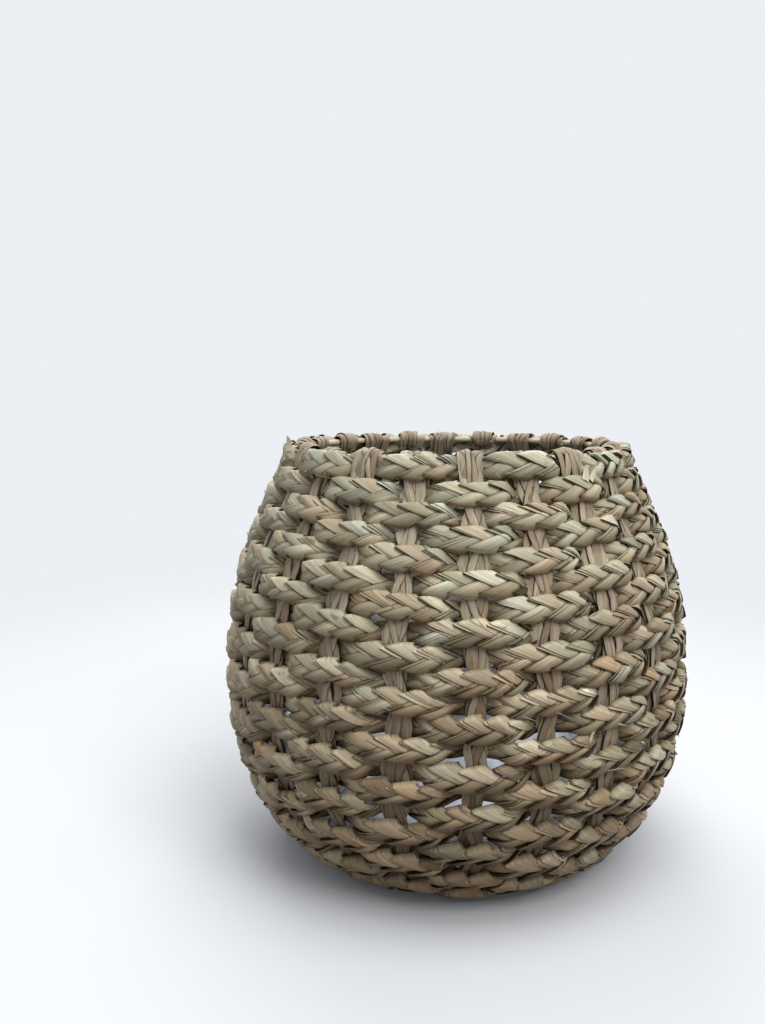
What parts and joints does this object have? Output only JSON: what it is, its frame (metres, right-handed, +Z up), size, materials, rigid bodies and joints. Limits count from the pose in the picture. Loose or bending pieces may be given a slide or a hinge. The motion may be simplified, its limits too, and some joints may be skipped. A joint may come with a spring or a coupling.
{
  "type": "planter basket",
  "caption": "Round-bellied woven planter basket of plaited leaf rows on upright stakes, with a thin rim hoop and a film liner that holds a plant pot",
  "frame": {"origin": "centre of the base on the floor, at the bottom centre of the bounding box", "axes": "+Z is up along the basket's axis, -Y is the front that the picture shows, +X is to its right"},
  "size_m": [0.4206, 0.4205, 0.3679],
  "materials": {
    "plaited_leaf": "dry plaited leaf, matt with a faint sheen, tan with grey-green and some orange-brown leaves",
    "stake_leaf": "dry flat leaf bundles, matt, pinkish brown",
    "cane_hoop": "peeled cane rod, cream, slightly smooth",
    "liner_film": "thin pale plastic film, bluish white, slight sheen"
  },
  "bodies": {
    "root": {"braid_row_01": "plaited_leaf", "braid_row_02": "plaited_leaf", "braid_row_03": "plaited_leaf", "braid_row_04": "plaited_leaf", "braid_row_05": "plaited_leaf", "braid_row_06": "plaited_leaf", "braid_row_07": "plaited_leaf", "braid_row_08": "plaited_leaf", "braid_row_09": "plaited_leaf", "braid_row_10": "plaited_leaf", "braid_row_11": "plaited_leaf", "braid_row_12": "plaited_leaf", "braid_row_13": "plaited_leaf", "braid_row_14": "plaited_leaf", "braid_row_15": "plaited_leaf", "braid_row_16": "plaited_leaf", "braid_row_17": "plaited_leaf", "braid_row_18": "plaited_leaf", "braid_row_19": "plaited_leaf", "braid_row_20": "plaited_leaf", "braid_row_21": "plaited_leaf", "braid_row_22": "plaited_leaf", "braid_row_23": "plaited_leaf", "braid_row_24": "plaited_leaf", "braid_row_25": "plaited_leaf", "stake_01": "stake_leaf", "stake_02": "stake_leaf", "stake_03": "stake_leaf", "stake_04": "stake_leaf", "stake_05": "stake_leaf", "stake_06": "stake_leaf", "stake_07": "stake_leaf", "stake_08": "stake_leaf", "stake_09": "stake_leaf", "stake_10": "stake_leaf", "stake_11": "stake_leaf", "stake_12": "stake_leaf", "stake_13": "stake_leaf", "stake_14": "stake_leaf", "stake_15": "stake_leaf", "stake_16": "stake_leaf", "stake_17": "stake_leaf", "stake_18": "stake_leaf", "stake_19": "stake_leaf", "stake_20": "stake_leaf", "stake_21": "stake_leaf", "stake_22": "stake_leaf", "rim_hoop": "cane_hoop", "base_centre": "plaited_leaf", "film_liner": "liner_film"}
  },
  "joints": []
}
